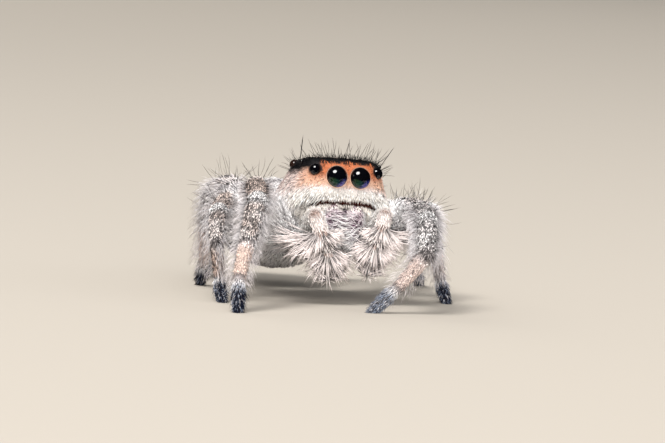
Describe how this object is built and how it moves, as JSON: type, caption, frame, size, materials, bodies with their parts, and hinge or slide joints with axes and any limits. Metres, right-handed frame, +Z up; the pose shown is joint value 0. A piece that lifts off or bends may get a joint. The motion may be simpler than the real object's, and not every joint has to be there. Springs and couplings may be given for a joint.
{
  "type": "jumping spider",
  "caption": "Life-size still model of a hairy jumping spider standing alert, with large forward eyes, fluffy palps and banded legs.",
  "frame": {"origin": "centre of the bounding box, on the floor that the feet stand on", "axes": "+Z up, +Y from the face to the spinnerets, so the spider faces -Y and its left side is +X"},
  "size_m": [0.0132, 0.02, 0.0062],
  "materials": {
    "head_coat": "short dense hair, orange round the eyes fading to cream, near black on top",
    "hind_coat": "grey and white hair with darker paired bands",
    "leg_coat": "salt and pepper hair over dark skin",
    "pink_coat": "pinkish cream hair",
    "foot_coat": "dense blue-black hair",
    "palp_coat": "long cream hair",
    "dark_skin": "dark brown skin with thin hair",
    "jaw_shell": "purple and pink iridescent shell",
    "claw": "dark glossy horn",
    "eye": "wet black gloss"
  },
  "bodies": {
    "root": {"carapace": "head_coat", "sternum": "dark_skin", "pedicel": "dark_skin", "abdomen": "hind_coat", "spinnerets": "dark_skin", "chelicera_l": "jaw_shell", "fang_l": "claw", "eye_ame_l": "eye", "eye_ale_l": "eye", "eye_pme_l": "eye", "eye_ple_l": "eye", "palp_l_femur": "palp_coat", "palp_l_tibia": "palp_coat", "palp_l_tarsus": "palp_coat", "chelicera_r": "jaw_shell", "fang_r": "claw", "eye_ame_r": "eye", "eye_ale_r": "eye", "eye_pme_r": "eye", "eye_ple_r": "eye", "palp_r_femur": "palp_coat", "palp_r_tibia": "palp_coat", "palp_r_tarsus": "palp_coat", "leg_l1_femur": "leg_coat", "leg_l1_tibia": "leg_coat", "leg_l1_metatarsus": "pink_coat", "leg_l1_tarsus": "foot_coat", "leg_l2_femur": "leg_coat", "leg_l2_tibia": "leg_coat", "leg_l2_metatarsus": "pink_coat", "leg_l2_tarsus": "foot_coat", "leg_l3_femur": "leg_coat", "leg_l3_tibia": "leg_coat", "leg_l3_metatarsus": "pink_coat", "leg_l3_tarsus": "foot_coat", "leg_l4_femur": "leg_coat", "leg_l4_tibia": "leg_coat", "leg_l4_metatarsus": "pink_coat", "leg_l4_tarsus": "foot_coat", "leg_r1_femur": "leg_coat", "leg_r1_tibia": "leg_coat", "leg_r1_metatarsus": "pink_coat", "leg_r1_tarsus": "foot_coat", "leg_r2_femur": "leg_coat", "leg_r2_tibia": "leg_coat", "leg_r2_metatarsus": "pink_coat", "leg_r2_tarsus": "foot_coat", "leg_r3_femur": "leg_coat", "leg_r3_tibia": "leg_coat", "leg_r3_metatarsus": "pink_coat", "leg_r3_tarsus": "foot_coat", "leg_r4_femur": "leg_coat", "leg_r4_tibia": "leg_coat", "leg_r4_metatarsus": "pink_coat", "leg_r4_tarsus": "foot_coat"}
  },
  "joints": []
}
